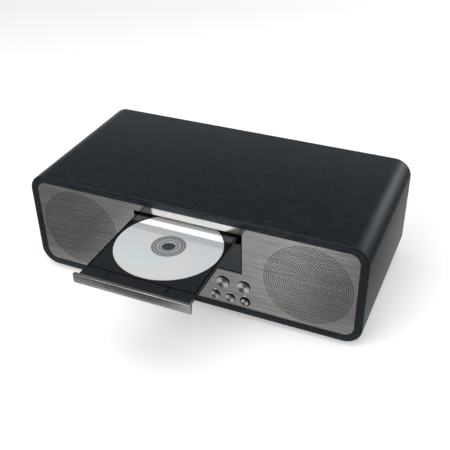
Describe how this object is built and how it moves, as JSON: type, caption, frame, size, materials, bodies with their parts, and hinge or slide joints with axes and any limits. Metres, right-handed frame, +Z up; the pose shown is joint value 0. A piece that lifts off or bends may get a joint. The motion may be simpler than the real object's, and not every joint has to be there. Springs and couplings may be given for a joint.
{
  "type": "mini hifi system",
  "caption": "Low, wide desktop hifi cabinet with round corners, a brushed front with two round grilles, a display, round keys and an open CD drawer.",
  "frame": {"origin": "middle of the bounding box in plan with the drawer open, at the underside of the feet", "axes": "+X to the listener's right, +Y from the front panel to the back, +Z up; the drawer opens towards -Y"},
  "size_m": [0.42, 0.3294, 0.136],
  "materials": {
    "black_wrap": "blue-black grained vinyl wrap over fibreboard, satin",
    "brushed_panel": "warm grey, brushed from side to side, polished",
    "grille": "warm grey, brushed, perforated in rings",
    "key_metal": "spun, with circular turning marks",
    "fibreboard": "black-stained fibreboard",
    "black_plastic": "moulded, satin",
    "dark_window": "smoked, glossy",
    "rubber": "matt",
    "paper_cone": "pressed paper pulp, matt",
    "steel": "plated, satin",
    "ferrite": "sintered ferrite, matt",
    "circuit_board": "green solder mask",
    "aluminium": "extruded, satin",
    "white_gear": "moulded acetal, satin",
    "disc_silver": "silver-coated clear plastic, mirror gloss"
  },
  "bodies": {
    "cabinet": {"aerial_socket": "steel", "amplifier_heat_sink": "aluminium", "audio_input_socket": "steel", "cabinet_sleeve": "black_wrap", "clamp_bridge": "steel", "cone_surround_left": "rubber", "cone_surround_right": "rubber", "display_module": "black_plastic", "display_window": "dark_window", "driver_basket_left": "steel", "driver_basket_right": "steel", "driver_magnet_left": "ferrite", "driver_magnet_right": "ferrite", "foot_front_left": "rubber", "foot_front_right": "rubber", "foot_rear_left": "rubber", "foot_rear_right": "rubber", "front_baffle": "fibreboard", "front_panel": "brushed_panel", "key_board_left": "circuit_board", "key_board_right": "circuit_board", "loader_chassis": "black_plastic", "loading_belt": "rubber", "loading_motor": "steel", "main_board": "circuit_board", "mains_inlet": "black_plastic", "mains_transformer": "steel", "rear_panel": "black_plastic", "speaker_grille_left": "grille", "speaker_grille_right": "grille", "usb_socket": "steel"},
    "tray": {"disc_tray": "black_plastic", "tray_strip": "brushed_panel", "tray_rack": "white_gear"},
    "disc": {"compact_disc": "disc_silver"},
    "key_big_inner_left": {"key_big_inner_left": "key_metal"},
    "key_big_outer_left": {"key_big_outer_left": "key_metal"},
    "key_small_inner_left": {"key_small_inner_left": "key_metal"},
    "key_small_middle_left": {"key_small_middle_left": "key_metal"},
    "key_small_outer_left": {"key_small_outer_left": "key_metal"},
    "key_big_inner_right": {"key_big_inner_right": "key_metal"},
    "key_big_outer_right": {"key_big_outer_right": "key_metal"},
    "key_small_inner_right": {"key_small_inner_right": "key_metal"},
    "key_small_middle_right": {"key_small_middle_right": "key_metal"},
    "power_key": {"power_key": "key_metal"},
    "tray_gear": {"tray_gear": "white_gear"},
    "pulley_gear": {"pulley_gear": "white_gear"},
    "motor_pulley": {"motor_pulley": "steel"},
    "deck": {"traverse_deck": "black_plastic", "spindle_motor": "steel", "guide_rod_left": "steel", "guide_rod_right": "steel", "sled_motor": "steel"},
    "turntable": {"turntable": "black_plastic"},
    "sled": {"laser_sled": "black_plastic", "sled_rack": "white_gear"},
    "sled_gear": {"sled_gear": "white_gear"},
    "clamper": {"clamper_puck": "black_plastic"},
    "cone_left": {"speaker_cone_left": "paper_cone"},
    "cone_right": {"speaker_cone_right": "paper_cone"}
  },
  "joints": [
    {"name": "tray_slide", "type": "slide", "parent": "cabinet", "child": "tray", "axis": [0, 1, 0], "range_m": [0, 0.128]},
    {"name": "disc_spin", "type": "hinge", "parent": "tray", "child": "disc", "pos_m": [0, -0.08025, 0.1129], "axis": [0, 0, 1], "continuous": true},
    {"name": "key_big_inner_left_press", "type": "slide", "parent": "cabinet", "child": "key_big_inner_left", "axis": [0, 1, 0], "range_m": [0, 0.0012], "stiffness_N_per_m": 400},
    {"name": "key_big_outer_left_press", "type": "slide", "parent": "cabinet", "child": "key_big_outer_left", "axis": [0, 1, 0], "range_m": [0, 0.0012], "stiffness_N_per_m": 400},
    {"name": "key_small_inner_left_press", "type": "slide", "parent": "cabinet", "child": "key_small_inner_left", "axis": [0, 1, 0], "range_m": [0, 0.0012], "stiffness_N_per_m": 400},
    {"name": "key_small_middle_left_press", "type": "slide", "parent": "cabinet", "child": "key_small_middle_left", "axis": [0, 1, 0], "range_m": [0, 0.0012], "stiffness_N_per_m": 400},
    {"name": "key_small_outer_left_press", "type": "slide", "parent": "cabinet", "child": "key_small_outer_left", "axis": [0, 1, 0], "range_m": [0, 0.0012], "stiffness_N_per_m": 400},
    {"name": "key_big_inner_right_press", "type": "slide", "parent": "cabinet", "child": "key_big_inner_right", "axis": [0, 1, 0], "range_m": [0, 0.0012], "stiffness_N_per_m": 400},
    {"name": "key_big_outer_right_press", "type": "slide", "parent": "cabinet", "child": "key_big_outer_right", "axis": [0, 1, 0], "range_m": [0, 0.0012], "stiffness_N_per_m": 400},
    {"name": "key_small_inner_right_press", "type": "slide", "parent": "cabinet", "child": "key_small_inner_right", "axis": [0, 1, 0], "range_m": [0, 0.0012], "stiffness_N_per_m": 400},
    {"name": "key_small_middle_right_press", "type": "slide", "parent": "cabinet", "child": "key_small_middle_right", "axis": [0, 1, 0], "range_m": [0, 0.0012], "stiffness_N_per_m": 400},
    {"name": "power_key_press", "type": "slide", "parent": "cabinet", "child": "power_key", "axis": [0, 1, 0], "range_m": [0, 0.0012], "stiffness_N_per_m": 400},
    {"name": "tray_gear_turn", "type": "hinge", "parent": "cabinet", "child": "tray_gear", "pos_m": [0.044, -0.00415, 0.10725], "axis": [0, 0, 1], "range_deg": [0, 733.4]},
    {"name": "pulley_gear_turn", "type": "hinge", "parent": "cabinet", "child": "pulley_gear", "pos_m": [0.027, -0.00415, 0.101], "axis": [0, 0, 1], "range_deg": [-1047.7, 0]},
    {"name": "motor_pulley_turn", "type": "hinge", "parent": "cabinet", "child": "motor_pulley", "pos_m": [-0.02, -0.00415, 0.101], "axis": [0, 0, 1], "range_deg": [-3169.7, 0]},
    {"name": "deck_lift", "type": "hinge", "parent": "cabinet", "child": "deck", "pos_m": [0, 0.12575, 0.099], "axis": [-1, 0, 0], "range_deg": [0, 4]},
    {"name": "turntable_spin", "type": "hinge", "parent": "deck", "child": "turntable", "pos_m": [0, 0.04794, 0.09356], "axis": [0, -0.0698, 0.9976], "continuous": true},
    {"name": "sled_slide", "type": "slide", "parent": "deck", "child": "sled", "axis": [0, 0.9976, 0.0698], "range_m": [0, 0.034]},
    {"name": "sled_gear_turn", "type": "hinge", "parent": "deck", "child": "sled_gear", "pos_m": [0.0343, 0.07622, 0.09052], "axis": [0, -0.0698, 0.9976], "range_deg": [-278.3, 0]},
    {"name": "clamper_spin", "type": "hinge", "parent": "cabinet", "child": "clamper", "pos_m": [0, 0.04775, 0.1183], "axis": [0, 0, 1], "continuous": true},
    {"name": "cone_left_travel", "type": "slide", "parent": "cabinet", "child": "cone_left", "axis": [0, -1, 0], "range_m": [-0.0015, 0.0015], "stiffness_N_per_m": 1500},
    {"name": "cone_right_travel", "type": "slide", "parent": "cabinet", "child": "cone_right", "axis": [0, -1, 0], "range_m": [-0.0015, 0.0015], "stiffness_N_per_m": 1500}
  ],
  "couplings": [
    {"joint": "tray_gear_turn", "follows": "tray_slide", "rad_per_m": 100},
    {"joint": "pulley_gear_turn", "follows": "tray_slide", "rad_per_m": -142.86},
    {"joint": "motor_pulley_turn", "follows": "tray_slide", "rad_per_m": -432.19},
    {"joint": "sled_gear_turn", "follows": "sled_slide", "rad_per_m": -142.86}
  ]
}
